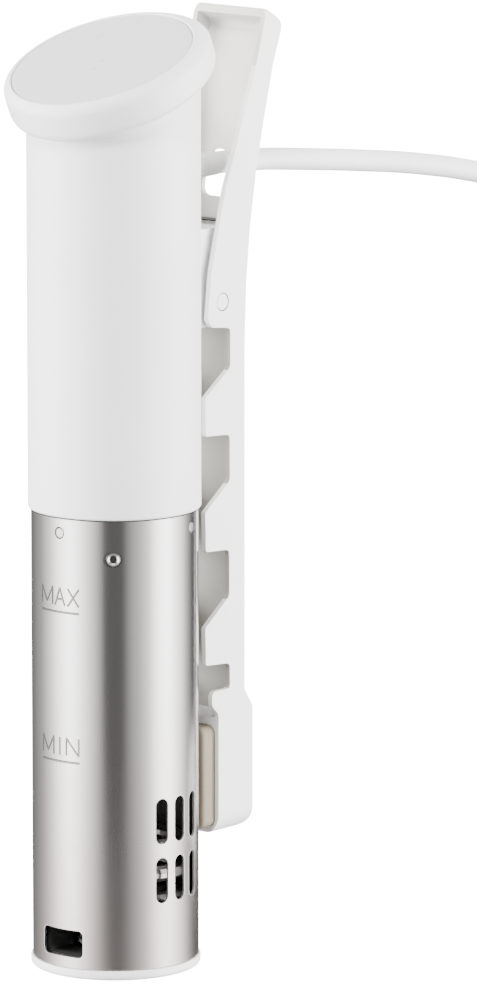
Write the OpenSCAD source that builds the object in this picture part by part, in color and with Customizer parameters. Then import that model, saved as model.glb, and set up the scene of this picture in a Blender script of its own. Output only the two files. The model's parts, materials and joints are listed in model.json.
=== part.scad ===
// Stick-type sous vide circulator: a white upper body with a tilted display head,
// a slotted stainless sleeve with the heater and pump inside, and a clothespin clip
// on the back that grips the rim of a pot.
// Origin: on the tube's axis at the underside of the foot. The front faces -Y, +Z is up.

/* [Body] */
// Outer diameter of the upper body
body_d = 62.1; // [61.6:0.1:63]
// Height of the seam between the upper body and the sleeve
seam_z = 167.6; // [166:0.1:169]
// Wall thickness of the upper body
body_wall = 2.2; // [1.8:0.1:2.4]

/* [Head] */
// Height of the centre of the display face
head_z = 329; // [327:0.5:331]
// How far the centre of the display face stands in front of the axis
head_forward = 6.2; // [5.6:0.1:6.6]
// Tilt of the display face towards the front, in degrees
head_tilt = 23.5; // [22.5:0.5:24.5]
// Outer diameter of the round head
head_d = 76; // [75:0.5:77]
// Diameter of the display face
panel_d = 66.4; // [65:0.2:66.6]

/* [Sleeve] */
// Outer diameter of the steel sleeve
sleeve_d = 60; // [59.8:0.1:60]
// Wall thickness of the steel sleeve
sleeve_wall = 0.8; // [0.6:0.1:0.9]
// Height of the foot below the sleeve
foot_h = 3.6; // [3:0.1:4]
// Width of an inlet slot
slot_w = 5.2; // [4.6:0.1:5.6]
// Length of an inlet slot
slot_l = 16.6; // [15:0.2:17]
// Angle between neighbouring slots, in degrees
slot_pitch = 16.3; // [15:0.1:17]
// Lower end of the lower slot row
slot_low_z = 27.4; // [26:0.2:29]
// Lower end of the upper slot row
slot_high_z = 49; // [48:0.2:51]

/* [Clip] */
// Width of the clip lever
lever_w = 33.6; // [33.2:0.2:34]
// Wall thickness of the lever
lever_wall = 2; // [1.8:0.1:2.2]
// Opening angle of the clip when the handle is pressed, in degrees
clip_travel = 12; // [10:0.5:12]
// Diameter of the hinge pin
pin_d = 6.1; // [5.8:0.1:6.2]
// Width of the hinge bracket
bracket_w = 27; // [26:0.5:28]

/* [Heater] */
// Diameter of the heater tube
heater_d = 6.2; // [5.8:0.1:6.4]
// Rise of one heater turn
heater_pitch = 9.9; // [9.5:0.1:10.5]
// Radius of the heater coil's centre line
heater_r = 23.4; // [22.6:0.2:23.8]

/* [Cord] */
// Diameter of the mains cord
cord_d = 8.2; // [8:0.1:8.4]

/* [Hidden] */
$fn = 96;

fit = 0.05; // running clearance on a radius
past = 1; // how far a cutter reaches past a face

// Body and sleeve
body_r = body_d / 2;
body_in_r = body_r - body_wall;
sleeve_r = sleeve_d / 2;
sleeve_in_r = sleeve_r - sleeve_wall;
skirt_h = 8; // length of sleeve inside the body's skirt
sleeve_top_z = seam_z + skirt_h;
body_edge_r = 1; // rounding of the body's lower edge

// Head, in its own tilted frame: the display face is the plane h = 0
ring_back = 1.7; // the ring's centre lies this far up the slope from the display's
ring_r = head_d / 2;
panel_r = panel_d / 2;
panel_t = 2;
ring_low = -15.2; // underside of the ring
ring_rise = 0.5; // the lip stands this far above the display face
body_cut = -8; // the body tube ends on this plane inside the head
cavity_r = 27.5;
board_r = 24;
board_h = -6.5; // underside of the display board
board_t = 1.5;
screw_x = 20; // the board screws stand this far to either side
board_screw_r = 1.2;

// Sleeve openings
window_w = 18.2;
window_z0 = 7.7;
window_z1 = 17.6;
window_r = 1.8;
pin_hole_r = 2.2;
pin_hole_z = 162;
pin_angles = [0, 107, 253];
pin_core = [1.5, 2.5]; // radius and length of a pin's inner end
screw_hole_r = 2.7;
screw_z = 153.5;
screw_angles = [40, 220];
screw_core = [1.25, 4.2];
cut_in = 4; // a cutter through the sleeve starts this far inside it
cut_l = 8;

// Pump and shaft
shaft_r = 2;
pump_z0 = foot_h;
pump_z1 = 19;
pump_r = 18;
pump_wall = 2;
cover_t = 2;
cover_neck = [6, 5]; // radius and height of the cover's neck round its bush
inlet_r = 2.4;
inlet_at = 9; // radius of the circle the pump's inlets stand on
bush_r = 4;
seal_r = 6;
seal_h = 5;
impeller_z = 8;
impeller_r = 13.5;
blade_h = 8;
duct_w = window_w + 4;

// Bulkhead and drive
bulk_z0 = 148;
web_z0 = 158;
web_z1 = 166;
skirt_in_r = sleeve_in_r - 3.2;
groove_z = [169, 171.4]; // the bulkhead's groove for its ring seal
groove_deep = 1.8;
mount_screw_angles = [60, 180, 300];
mount_screw_r = 25.7; // radius of the circle the mount screws stand on
mount_screw_thread = 1.2;
motor_z0 = sleeve_top_z + 5;
motor_h = 28;
motor_r = 14;
motor_wall = 1.2;
plate_t = 2;
inner_fit = 0.3; // room between the body and what stands in it
frame_top_z = 292;
rail = [2.6, 6];
rail_x = 25.5;
rail_pad = 4; // the rails are wider by this behind the power board
board_y = 8;
power_z0 = 222;
power_w = 46;
power_h = 66;
power_t = 1.6;
clamp = [20, 13, 24];

// Clip: profile sizes in the Y-Z plane
pivot = [40.2, 238.3];
jaw_front = 31;
jaw_back = 52.6;
bend_z = 215; // the handle starts to bend back here
bend_r = 359; // radius of the handle's back face
handle_top = 335.4; // top of the handle's back face
handle_front_top = [65, 342.3];
knee = [33.9, 249.6]; // the handle's front edge leaves the body here
notch_tops = [228, 189.5, 147.5];
notch_deep = 44.1; // inner wall of the notches
notch_h = [14, 17, 17];
notch_ramp = 9.5; // height of the ramp below each notch
last_notch = [96, 105.5];
shoe_back = 57.1;
shoe_front = 37.8;
shoe_low = 42.2;
shoe_top = 88;
cord_z = 285.6; // height of the cord where it leaves the body
hole_z = [273.4, 290.4]; // the lever's cord hole: round at the top, cornered at the foot
hole_r = 6.2;
hole_corner = 3.2;
bracket_z0 = 229.5;
bracket_z1 = 265;
bracket_back = 47;
cheek_w = 4;
wire_r = 0.65;
spring_r = 4.9;
bar_end = [52.9, 265.4]; // the spring's cross bar behind the lever
pad_w = 30;
pad_z = [45.3, 83];
pad_corner = 3;
pad_y = [31, 42.5];

// Cord: route of the centre line from the gland to the coil, chosen by hand
cord_r = cord_d / 2;
gland_end = 56;
neck_r = 5.5; // radius of the gland where it goes through the body
cord_route = [
    [0, 56, 285.6], [0, 70, 285], [0, 85, 284], [0, 105, 281.8], [0, 125, 279.5],
    [0, 140, 277.6], [0, 160, 275], [0, 180, 271.8], [0, 200, 268], [0, 223, 262],
    [0, 244, 250], [0, 260, 232], [0, 270, 208], [0, 275, 180], [0, 275, 150],
    [0, 275, 115], [0, 275, 80], [0, 275, 44], [0, 271, 27], [0, 261, 13.5],
    [0, 245, 5.4], [0, 235, 4.1]
];
tail_route = [
    [93.6, 226.8, 12.3], [94.6, 232.7, 12.7], [95, 241.3, 13.4], [93.1, 249.7, 15],
    [89.2, 257.4, 17.2], [83.3, 263.7, 19.7], [76.1, 268.4, 21.8], [67.9, 271, 22.8],
    [63.8, 271.7, 22.8]
];
coil_out = 5.75 * cord_d; // centre line radius of the coil's outer turn
coil_in = coil_out - 1.5 * cord_d;
coil_centre = [coil_out, 235];
coil_h = 2 * cord_d;
plug_turn = -10; // the plug lies turned by this about the coil's centre
plug_rear = [10, 39]; // where the cord enters the plug, in the turned frame
plug_neck = 16;
plug_l = 24;
plug_half = [10, 6.4];
blade = [16, 1.5, 6.3];
blade_gap = 12.7;

// ---------------------------------------------------------------- helpers

// A tube wall between two radii and two heights
module ring(r_out, r_in, z0, z1) {
    translate([0, 0, z0]) difference() {
        cylinder(r = r_out, h = z1 - z0);
        translate([0, 0, -past]) cylinder(r = r_in, h = z1 - z0 + 2 * past);
    }
}

// A solid disc between two heights
module disc(r, z0, z1) {
    translate([0, 0, z0]) cylinder(r = r, h = z1 - z0);
}

// Turns its children from the front to an angle towards +X and stands them at a height
module around(angle, z) {
    rotate([0, 0, angle]) translate([0, 0, z]) children();
}

// Lays a child that points along +Z out along -Y
module outward(r) {
    translate([0, -r, 0]) rotate([90, 0, 0]) children();
}

// Extrudes an outline of the Y-Z plane along X, centred
module along_x(w) {
    translate([-w / 2, 0, 0]) rotate([90, 0, 90]) linear_extrude(w) children();
}

// The head's tilted frame
module tilted() {
    translate([0, -head_forward, head_z]) rotate([head_tilt, 0, 0]) children();
}

// An upright rectangle with round corners, by its corners
module rounded(low, high, r) {
    translate([low[0] + r, low[1]]) square([high[0] - low[0] - 2 * r, high[1] - low[1]]);
    translate([low[0], low[1] + r]) square([high[0] - low[0], high[1] - low[1] - 2 * r]);
    for (x = [low[0] + r, high[0] - r], y = [low[1] + r, high[1] - r])
        translate([x, y]) circle(r);
}

function unit(v) = v / norm(v);
function square_to(n, t) = unit(n - (n * t) * t);
function polar(r, a, z) = [r * sin(a), -r * cos(a), z];

// The direction of a route at each of its points
function headings(p) =
    [for (i = [0 : len(p) - 1]) unit(p[min(i + 1, len(p) - 1)] - p[max(i - 1, 0)])];

// A side direction at each point, carried along without twisting
function sides_of(t, n0) =
    [for (i = 0, n = square_to(n0, t[0]);
        i < len(t);
        i = i + 1, n = square_to(n, t[min(i, len(t) - 1)])) n];

// Points of a smooth curve through p, with k steps between neighbours
function smooth(p, k) = concat(
    [for (i = [0 : len(p) - 2], j = [0 : k - 1])
        let (u = j / k, a = p[max(i - 1, 0)], b = p[i], c = p[i + 1], d = p[min(i + 2, len(p) - 1)])
        0.5 * (2 * b + (c - a) * u + (2 * a - 5 * b + 4 * c - d) * u * u
            + (3 * b - a - 3 * c + d) * u * u * u)],
    [p[len(p) - 1]]);

// A round rod swept along a route
module rod(p, r, n, side) {
    t = headings(p);
    u = sides_of(t, side);
    last = len(p) - 1;
    points = [for (i = [0 : last], j = [0 : n - 1])
        let (a = 360 * j / n) p[i] + r * (cos(a) * u[i] + sin(a) * cross(t[i], u[i]))];
    walls = [for (i = [0 : last - 1], j = [0 : n - 1])
        let (k = (j + 1) % n) [i * n + j, i * n + n + j, i * n + n + k, i * n + k]];
    ends = [[for (j = [0 : n - 1]) j], [for (j = [n - 1 : -1 : 0]) last * n + j]];
    polyhedron(points, concat(walls, ends), convexity = 10);
}

// ---------------------------------------------------------------- wet end

module base_cap() {
    edge = 1.6;
    foot_r = sleeve_r + 0.7;
    color("white") {
        rotate_extrude() {
            square([foot_r - edge, foot_h]);
            translate([0, edge]) square([foot_r, foot_h - edge]);
            translate([foot_r - edge, edge]) circle(edge);
        }
        ring(sleeve_in_r, sleeve_in_r - 1.5, foot_h, foot_h + 2.4);
    }
}

module slot_cutter(z) {
    outward(sleeve_in_r - cut_in) linear_extrude(cut_l)
        rounded([-slot_w / 2, z], [slot_w / 2, z + slot_l], slot_w / 2 - 0.01);
}

module window_cutter(depth) {
    outward(sleeve_r + 2 - depth) linear_extrude(depth)
        rounded([-window_w / 2, window_z0], [window_w / 2, window_z1], window_r);
}

module steel_sleeve() {
    color("silver") difference() {
        ring(sleeve_r, sleeve_in_r, foot_h, sleeve_top_z);
        for (side = [90, 270], k = [-1 : 1], z = [slot_low_z, slot_high_z])
            rotate([0, 0, side + 1 + k * slot_pitch]) slot_cutter(z);
        window_cutter(cut_l);
        for (a = pin_angles) around(a, pin_hole_z) outward(sleeve_in_r - cut_in)
            cylinder(r = pin_hole_r, h = cut_l);
        for (a = screw_angles) around(a, screw_z) outward(sleeve_in_r - cut_in)
            cylinder(r = screw_hole_r, h = cut_l);
    }
}

module pump_housing() {
    color("dimgray") difference() {
        union() {
            disc(pump_r, pump_z0, pump_z1);
            intersection() {
                translate([-duct_w / 2, -sleeve_r, pump_z0]) cube([duct_w, sleeve_r, pump_z1 - pump_z0]);
                disc(sleeve_in_r - 1.6, pump_z0, pump_z1);
            }
        }
        disc(pump_r - pump_wall, impeller_z - 1, pump_z1 + past);
        window_cutter(sleeve_r - 4);
    }
}

module pump_cover() {
    color("dimgray") difference() {
        union() {
            disc(pump_r, pump_z1, pump_z1 + cover_t);
            disc(cover_neck[0], pump_z1, pump_z1 + cover_neck[1]);
        }
        disc(bush_r, pump_z1 - past, pump_z1 + cover_neck[1] + past);
        for (a = [0 : 60 : 300]) rotate([0, 0, a]) translate([0, inlet_at, pump_z1 - past])
            cylinder(r = inlet_r, h = cover_t + 2 * past);
    }
}

module shaft_bushing() {
    color("tan") ring(bush_r, shaft_r + fit, pump_z1, pump_z1 + cover_neck[1]);
}

// The heater's route: down a straight leg, round the helix, and up inside it
helix_z1 = 49.3;
helix_turns = 2.4;
helix_start = -20; // degrees round the tube
outer_lead = 26; // degrees from the outer leg to the helix
inner_lead = 22; // degrees from the helix to the bend inside it
inner_r = 12.5;
leg_top = web_z1 + 6;
leg_r = 20.5; // radius the outer leg stands on
function helix(a) = polar(heater_r, helix_start + a, helix_z1 - heater_pitch * a / 360);
helix_end = helix(360 * helix_turns);
end_a = helix_start + 360 * helix_turns;
heater_route = concat(
    [for (z = [leg_top, 120, helix_z1 + 16]) polar(leg_r, helix_start - outer_lead, z)],
    [for (b = [0 : 18 : 72])
        polar(leg_r + (heater_r - leg_r) * sin(b), helix_start - outer_lead * (1 - sin(b)),
            helix_z1 + 11 * cos(b) + 0.5)],
    [for (a = [9 : 15 : 360 * helix_turns]) helix(a)],
    [for (b = [15 : 15 : 75])
        polar(heater_r - (heater_r - inner_r) * (1 - cos(b)), end_a + inner_lead * sin(b),
            helix_end[2] - 0.3)],
    [for (b = [15 : 15 : 90])
        polar(inner_r - 1.5 * sin(b), end_a + inner_lead + 30 * sin(b), helix_end[2] + 12 * (1 - cos(b)))],
    [for (z = [helix_end[2] + 30, 100, leg_top]) polar(inner_r - 1.5, end_a + inner_lead + 30, z)]);

module heater_coil() {
    color("gainsboro") rod(heater_route, heater_d / 2, 12, [0, 1, 0]);
}

module heater_holes() {
    for (p = [heater_route[0], heater_route[len(heater_route) - 1]])
        translate([p[0], p[1], web_z0 - past])
            cylinder(r = heater_d / 2 + fit, h = web_z1 - web_z0 + 2 * past);
}

probe_r = 1.8;
probe_at = polar(17, 150, 0);
probe_low = 72;
probe_top = web_z1 + 4;
level_low = 79;
level_r = 1.2;
level_ats = [polar(17, 195, 0), polar(17, 215, 0)];

module temperature_probe() {
    color("lightgray") translate(probe_at) {
        disc(probe_r, probe_low, probe_top);
        translate([0, 0, probe_low]) sphere(probe_r);
    }
}

module level_probes() {
    color("lightgray") for (p = level_ats) translate(p) disc(level_r, level_low, probe_top);
}

module bulkhead() {
    color("dimgray") difference() {
        disc(sleeve_in_r, bulk_z0, sleeve_top_z);
        disc(skirt_in_r, bulk_z0 - past, web_z0);
        disc(24, web_z1, sleeve_top_z + past);
        ring(sleeve_r, sleeve_in_r - groove_deep, groove_z[0], groove_z[1]);
        disc(shaft_r + 1, web_z0 - past, web_z1 + past);
        disc(seal_r, web_z0 - past, web_z0 + seal_h);
        heater_holes();
        translate(probe_at) disc(probe_r, web_z0 - past, web_z1 + past);
        for (p = level_ats) translate(p) disc(level_r, web_z0 - past, web_z1 + past);
        for (a = pin_angles) around(a, pin_hole_z) outward(sleeve_in_r - pin_core[1])
            cylinder(r = pin_core[0], h = cut_l);
        for (a = screw_angles) around(a, screw_z) outward(sleeve_in_r - cut_in)
            cylinder(r = screw_core[0], h = cut_l);
        for (a = mount_screw_angles) around(a, web_z1) translate([0, -mount_screw_r, 0])
            cylinder(r = mount_screw_thread, h = 20);
    }
}

module bulkhead_seal() {
    color("black")
        ring(sleeve_in_r - fit, sleeve_in_r - groove_deep + fit, groove_z[0] + 0.1, groove_z[1] - 0.1);
}

module shaft_seal() {
    color("black") ring(seal_r, shaft_r + fit, web_z0, web_z0 + seal_h);
}

module sleeve_pins() {
    color("silver") for (a = pin_angles) around(a, pin_hole_z) {
        outward(sleeve_in_r - pin_core[1]) cylinder(r = pin_core[0], h = pin_core[1]);
        outward(sleeve_in_r) cylinder(r = pin_hole_r - fit, h = sleeve_wall);
    }
}

module sleeve_screws() {
    color("silver") for (a = screw_angles) around(a, screw_z) {
        outward(sleeve_in_r - cut_in) cylinder(r = screw_core[0], h = screw_core[1]);
        outward(sleeve_in_r) difference() {
            cylinder(r1 = 1.6, r2 = screw_hole_r - fit, h = sleeve_wall);
            translate([0, 0, 0.2]) cylinder(r = 0.8, h = 2, $fn = 6);
        }
    }
}

// ---------------------------------------------------------------- upper body

module body_shell() {
    color("whitesmoke") difference() {
        rotate_extrude() {
            translate([0, seam_z + body_edge_r]) square([body_r, head_z - seam_z + 30]);
            translate([0, seam_z]) square([body_r - body_edge_r, 10]);
            translate([body_r - body_edge_r, seam_z + body_edge_r]) circle(body_edge_r);
        }
        disc(body_in_r, sleeve_top_z, head_z + 60);
        disc(sleeve_r + fit, seam_z - past, sleeve_top_z + past / 2);
        tilted() disc(100, body_cut, body_cut + 120);
        translate([0, 0, cord_z]) rotate([-90, 0, 0]) cylinder(r = neck_r, h = 60);
        for (z = bracket_screw_z) translate([0, 0, z]) rotate([-90, 0, 0]) cylinder(r = 1.6, h = 60);
    }
}

module head_bezel() {
    lip = panel_r + 0.15;
    round_low = 4.5;
    round_top = 4;
    boss = [12, 8];
    boss_x = 23;
    color("white") difference() {
        tilted() translate([0, ring_back, 0]) rotate_extrude() {
            translate([0, ring_low]) square([ring_r - round_low, ring_rise - ring_low]);
            translate([0, ring_low + round_low])
                square([ring_r, ring_rise - round_top - ring_low - round_low]);
            translate([ring_r - round_low, ring_low + round_low]) circle(round_low);
            intersection() {
                translate([ring_r - round_top, ring_rise - round_top]) circle(round_top);
                translate([ring_r - round_top, ring_rise - round_top]) square(2 * round_top);
            }
        }
        tilted() disc(lip, -panel_t, 5);
        tilted() translate([0, ring_back, 0]) disc(cavity_r, ring_low - 20, 2);
        difference() {
            disc(body_r, seam_z, head_z + 60);
            tilted() disc(100, body_cut, body_cut + 120);
        }
    }
    color("white") tilted() translate([0, ring_back, 0]) for (x = [-1, 1]) difference() {
        translate([x * boss_x - boss[0] / 2, -boss[1] / 2, body_cut])
            cube([boss[0], boss[1], board_h - body_cut]);
        translate([x * screw_x, 0, 0]) disc(board_screw_r, body_cut - past, board_h + past);
    }
}

module display_panel() {
    color("lightgray") tilted() disc(panel_r, -panel_t, 0);
}

touch_ats = [[-15, -14], [-5, -17], [5, -17], [15, -14]];

module display_board() {
    color("darkgreen") tilted() translate([0, ring_back, 0]) difference() {
        disc(board_r, board_h, board_h + board_t);
        for (x = [-1, 1]) translate([screw_x * x, 0, 0])
            disc(board_screw_r + 0.1, board_h - past, board_h + board_t + past);
    }
}

module digit_module() {
    color("black") tilted() translate([-16, -1, board_h + board_t]) cube([32, 13, 2.8]);
}

module touch_springs() {
    color("gold") tilted() for (p = touch_ats) translate([p[0], p[1], 0])
        ring(2.4, 1.8, board_h + board_t, -panel_t);
}

module buzzer() {
    color("black") tilted() translate([10, 8, 0]) disc(5, board_h - 5, board_h);
}

module board_screws() {
    color("silver") tilted() translate([0, ring_back, 0]) for (x = [-1, 1]) translate([screw_x * x, 0, 0]) {
        disc(board_screw_r, body_cut, board_h + board_t);
        disc(2.3, board_h + board_t, board_h + board_t + 1.4);
    }
}

module inner_frame() {
    low = motor_z0 + motor_h;
    color("dimgray") {
        ring(body_in_r - inner_fit, 5, low, low + plate_t);
        for (x = [-1, 1]) translate([x * rail_x - rail[0] / 2, board_y - rail[1], 0]) {
            translate([0, 0, low]) cube([rail[0], rail[1], frame_top_z - low]);
            translate([x > 0 ? -rail_pad : 0, 0, power_z0 - 4])
                cube([rail[0] + rail_pad, rail[1], power_h + 8]);
        }
    }
}

module motor_mount() {
    color("silver") difference() {
        union() {
            disc(body_in_r - inner_fit, sleeve_top_z, sleeve_top_z + plate_t);
            disc(motor_r + 3, sleeve_top_z + plate_t, motor_z0);
        }
        disc(7, sleeve_top_z - past, motor_z0 + past);
        for (a = mount_screw_angles) around(a, sleeve_top_z - past) translate([0, -mount_screw_r, 0])
            cylinder(r = mount_screw_thread + 0.1, h = 8);
    }
}

module mount_screws() {
    color("gray") for (a = mount_screw_angles) rotate([0, 0, a]) translate([0, -mount_screw_r, 0]) {
        disc(mount_screw_thread, sleeve_top_z - 7, sleeve_top_z + plate_t);
        disc(2.1, sleeve_top_z + plate_t, sleeve_top_z + plate_t + 1.6);
    }
}

module motor_can() {
    color("silver") difference() {
        disc(motor_r, motor_z0, motor_z0 + motor_h);
        disc(motor_r - motor_wall, motor_z0 + motor_wall, motor_z0 + motor_h - motor_wall);
        disc(bush_r, motor_z0 - past, motor_z0 + motor_h + past);
    }
}

module motor_magnets() {
    color("black") difference() {
        ring(motor_r - motor_wall, motor_r - 3, motor_z0 + 5, motor_z0 + motor_h - 5);
        translate([-2, -motor_r, motor_z0]) cube([4, 2 * motor_r, motor_h]);
    }
}

module motor_bearings() {
    color("tan") for (z = [motor_z0, motor_z0 + motor_h - 4]) ring(bush_r, shaft_r + fit, z, z + 4);
}

module power_board() {
    color("darkgreen") translate([-power_w / 2, board_y, power_z0]) cube([power_w, power_t, power_h]);
}

module transformer() {
    size = [20, 16, 18];
    color("gold") translate([-size[0] / 2, board_y - size[1], power_z0 + 6]) cube(size);
}

module capacitor() {
    color("black") translate([-12, board_y, power_z0 + 42]) rotate([90, 0, 0]) cylinder(r = 6, h = 16);
}

module relay() {
    size = [14, 14, 20];
    color("royalblue") translate([2, board_y - size[1], power_z0 + 32]) cube(size);
}

module cord_clamp() {
    color("dimgray") translate([0, board_y + power_t, cord_z]) difference() {
        translate([-clamp[0] / 2, 0, -clamp[2] / 2]) cube(clamp);
        translate([0, -past, 0]) rotate([-90, 0, 0]) cylinder(r = cord_r, h = clamp[1] + 2 * past);
    }
}

module cord_gland() {
    inside = board_y + power_t + clamp[1];
    flange_r = 7;
    color("whitesmoke") {
        translate([0, 0, cord_z]) rotate([-90, 0, 0]) {
            disc(cord_r - fit, board_y + power_t, inside);
            disc(flange_r, inside, body_in_r - inner_fit - 1.6);
            disc(neck_r, body_in_r - 2, body_r + 1);
            translate([0, 0, body_r + 1])
                cylinder(r1 = neck_r, r2 = cord_r + 0.2, h = gland_end - body_r - 1);
        }
        difference() {
            translate([0, 0, cord_z]) rotate([-90, 0, 0]) disc(flange_r, body_r - 2, body_r + 2);
            disc(body_r, cord_z - 20, cord_z + 20);
        }
    }
}

// ---------------------------------------------------------------- clip

bracket_screw_z = [234.5, 258];
bracket_thread = 1.25;
pocket_y = 33.6; // the pocket between the bracket's cheeks starts here

module bracket_outline() {
    polygon([
        [20, bracket_z0], [bracket_back - 5, bracket_z0], [bracket_back, bracket_z0 + 6],
        [bracket_back, bracket_z1 - 2], [bracket_back - 2, bracket_z1], [20, bracket_z1]]);
}

module hinge_bracket() {
    pocket_w = bracket_w - 2 * cheek_w;
    color("whitesmoke") difference() {
        along_x(bracket_w) bracket_outline();
        disc(body_r, bracket_z0 - past, bracket_z1 + past);
        along_x(pocket_w) translate([pocket_y, bracket_z0 - past]) square([20, bracket_z1 - bracket_z0 - 2]);
        translate([-50, pivot[0], pivot[1]]) rotate([0, 90, 0]) cylinder(r = pin_d / 2, h = 100);
        for (z = bracket_screw_z) translate([0, 0, z]) rotate([-90, 0, 0])
            cylinder(r = bracket_thread, h = 60);
    }
}

module bracket_screws() {
    color("silver") for (z = bracket_screw_z) translate([0, 0, z]) rotate([-90, 0, 0]) {
        disc(2.8, body_in_r - 2.2, body_in_r - 0.5);
        disc(bracket_thread, body_in_r - 0.5, pocket_y);
    }
}

module hinge_pin() {
    color("gainsboro") translate([-lever_w / 2, pivot[0], pivot[1]]) rotate([0, 90, 0])
        cylinder(r = pin_d / 2, h = lever_w);
}

// Half of the spring: a short leg, the coil, and a long leg up to the cross bar
coil_turns = 4.5;
function spring_half(s) =
    let (x0 = 1.2, step = 2 * wire_r * 1.05)
    concat(
        [[s * x0, 34.6, pivot[1] + 6.5], [s * x0, 35, pivot[1] + 4]],
        [for (a = [0 : 20 : 360 * coil_turns])
            [s * (x0 + step * a / 360), pivot[0] - spring_r * cos(a), pivot[1] - spring_r * sin(a)]],
        [[s * (x0 + step * coil_turns), pivot[0] + 6.8, pivot[1] + 8]],
        [[s * (x0 + step * coil_turns), bar_end[0] - 0.9, bar_end[1] - 2.4]],
        [[s * (x0 + step * coil_turns - 1), bar_end[0], bar_end[1]]]);
function mirrored(p) = [for (i = [len(p) - 1 : -1 : 0]) p[i]];

module torsion_spring() {
    color("dimgray") rod(concat(spring_half(1), mirrored(spring_half(-1))), wire_r, 8, [1, 0, 0.1]);
}

function bend_y(r, z) = jaw_back + bend_r - sqrt(r * r - (z - bend_z) * (z - bend_z));
function back_edge(r, z1) = [for (i = [0 : 10]) let (z = bend_z + (z1 - bend_z) * i / 10) [bend_y(r, z), z]];

module lever_outline() {
    difference() {
        polygon(concat(
            [[shoe_front, shoe_low], [shoe_back - 5, shoe_low + 1.5], [shoe_back, shoe_low + 6.5],
                [shoe_back, shoe_top], [jaw_back, shoe_top + 6.6]],
            back_edge(bend_r, handle_top),
            [handle_front_top, knee, [jaw_front + 1, knee[1] - 12], [jaw_front + 1, knee[1] - 17],
                [jaw_front + 2.6, notch_tops[0] + 1.5], [jaw_front, notch_tops[0] + 1.5],
                [jaw_front, shoe_top + 2], [shoe_front, shoe_top - 0.6]]));
        for (i = [0 : 2]) polygon([
            [notch_deep, notch_tops[i]], [notch_deep, notch_tops[i] - notch_h[i]],
            [jaw_front - 0.5, notch_tops[i] - notch_h[i] - notch_ramp],
            [jaw_front - 0.5, notch_tops[i] + 1.4]]);
        polygon([
            [notch_deep, last_notch[1]], [notch_deep, last_notch[0]], [36.6, last_notch[0]],
            [34.4, last_notch[0] - 1.8], [34.2, last_notch[0] - 4.4], [36.6, shoe_top - 0.2],
            [shoe_front, shoe_top - 3],
            [jaw_front - 1, shoe_top - 3], [jaw_front - 1, last_notch[1] + 1.4]]);
    }
}

// The channel inside the lever
module lever_hollow() {
    inner = jaw_back - lever_wall;
    polygon(concat(
        [[20, shoe_top - 2], [inner, shoe_top - 2]],
        back_edge(bend_r + lever_wall, handle_top - 3.6),
        [[handle_front_top[0] + 1, handle_front_top[1] - 3], [20, handle_front_top[1] - 3]]));
}

// The cord's hole through the lever's back
module hole_outline() {
    middle = hole_z[1] - hole_r;
    rounded([-hole_r, hole_z[0]], [hole_r, middle], hole_corner);
    translate([-hole_r, hole_z[0] + hole_corner]) square([2 * hole_r, middle - hole_z[0] - hole_corner]);
    translate([0, middle]) circle(hole_r);
}

module clip_lever() {
    color("whitesmoke") difference() {
        along_x(lever_w) lever_outline();
        along_x(lever_w - 2 * lever_wall) lever_hollow();
        translate([0, pad_y[1], 0]) rotate([90, 0, 0]) linear_extrude(30)
            rounded([-pad_w / 2, pad_z[0]], [pad_w / 2, pad_z[1]], pad_corner);
        translate([-50, pivot[0], pivot[1]]) rotate([0, 90, 0]) cylinder(r = pin_d / 2 + fit, h = 100);
        translate([0, 90, 0]) rotate([90, 0, 0]) linear_extrude(40) hole_outline();
    }
}

module jaw_pad() {
    color("wheat") translate([0, pad_y[1], 0]) rotate([90, 0, 0]) linear_extrude(pad_y[1] - pad_y[0])
        rounded([-pad_w / 2, pad_z[0]], [pad_w / 2, pad_z[1]], pad_corner);
}

// ---------------------------------------------------------------- rotating group

module pump_shaft() {
    color("silver") disc(shaft_r, impeller_z, motor_z0 + motor_h + 4);
}

module motor_rotor() {
    color("peru") ring(motor_r - 3.5, shaft_r, motor_z0 + 6, motor_z0 + motor_h - 6);
}

module impeller() {
    color("white") {
        ring(bush_r, shaft_r, impeller_z, impeller_z + 9);
        ring(impeller_r, bush_r - 0.1, impeller_z, impeller_z + 1.4);
        for (a = [0 : 60 : 300]) rotate([0, 0, a]) translate([-0.7, bush_r - 0.1, impeller_z])
            cube([1.4, impeller_r - bush_r - 0.4, blade_h]);
    }
}

// ---------------------------------------------------------------- cord

module power_cord() {
    color("whitesmoke") rod(smooth(cord_route, 2), cord_r, 10, [1, 0, 0]);
}

module cord_coil() {
    color("whitesmoke") translate([coil_centre[0], coil_centre[1], 0])
        ring(coil_out + cord_r, coil_in - cord_r, 0, coil_h);
}

module cord_tail() {
    color("whitesmoke") rod(smooth(tail_route, 2), cord_r, 10, [0, 0, 1]);
}

// The plug's own frame: its axis runs along +X, with x = 0 where the cord enters
module plug_frame() {
    translate([coil_centre[0], coil_centre[1], coil_h + plug_half[1]]) rotate([0, 0, plug_turn])
        translate([plug_rear[0], plug_rear[1], 0]) children();
}

module plug_body() {
    color("whitesmoke") plug_frame() {
        translate([-plug_neck - plug_l / 2, 0, 0]) along_x(plug_l) rounded(-plug_half, plug_half, 3);
        translate([-plug_neck, 0, 0]) rotate([0, 90, 0]) cylinder(r1 = 6, r2 = cord_r + 0.4, h = plug_neck);
    }
}

module plug_blades() {
    color("gold") plug_frame() for (y = [-blade_gap / 2, blade_gap / 2])
        translate([-plug_neck - plug_l - blade[0], y - blade[1] / 2, -blade[2] / 2]) cube(blade);
}

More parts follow.
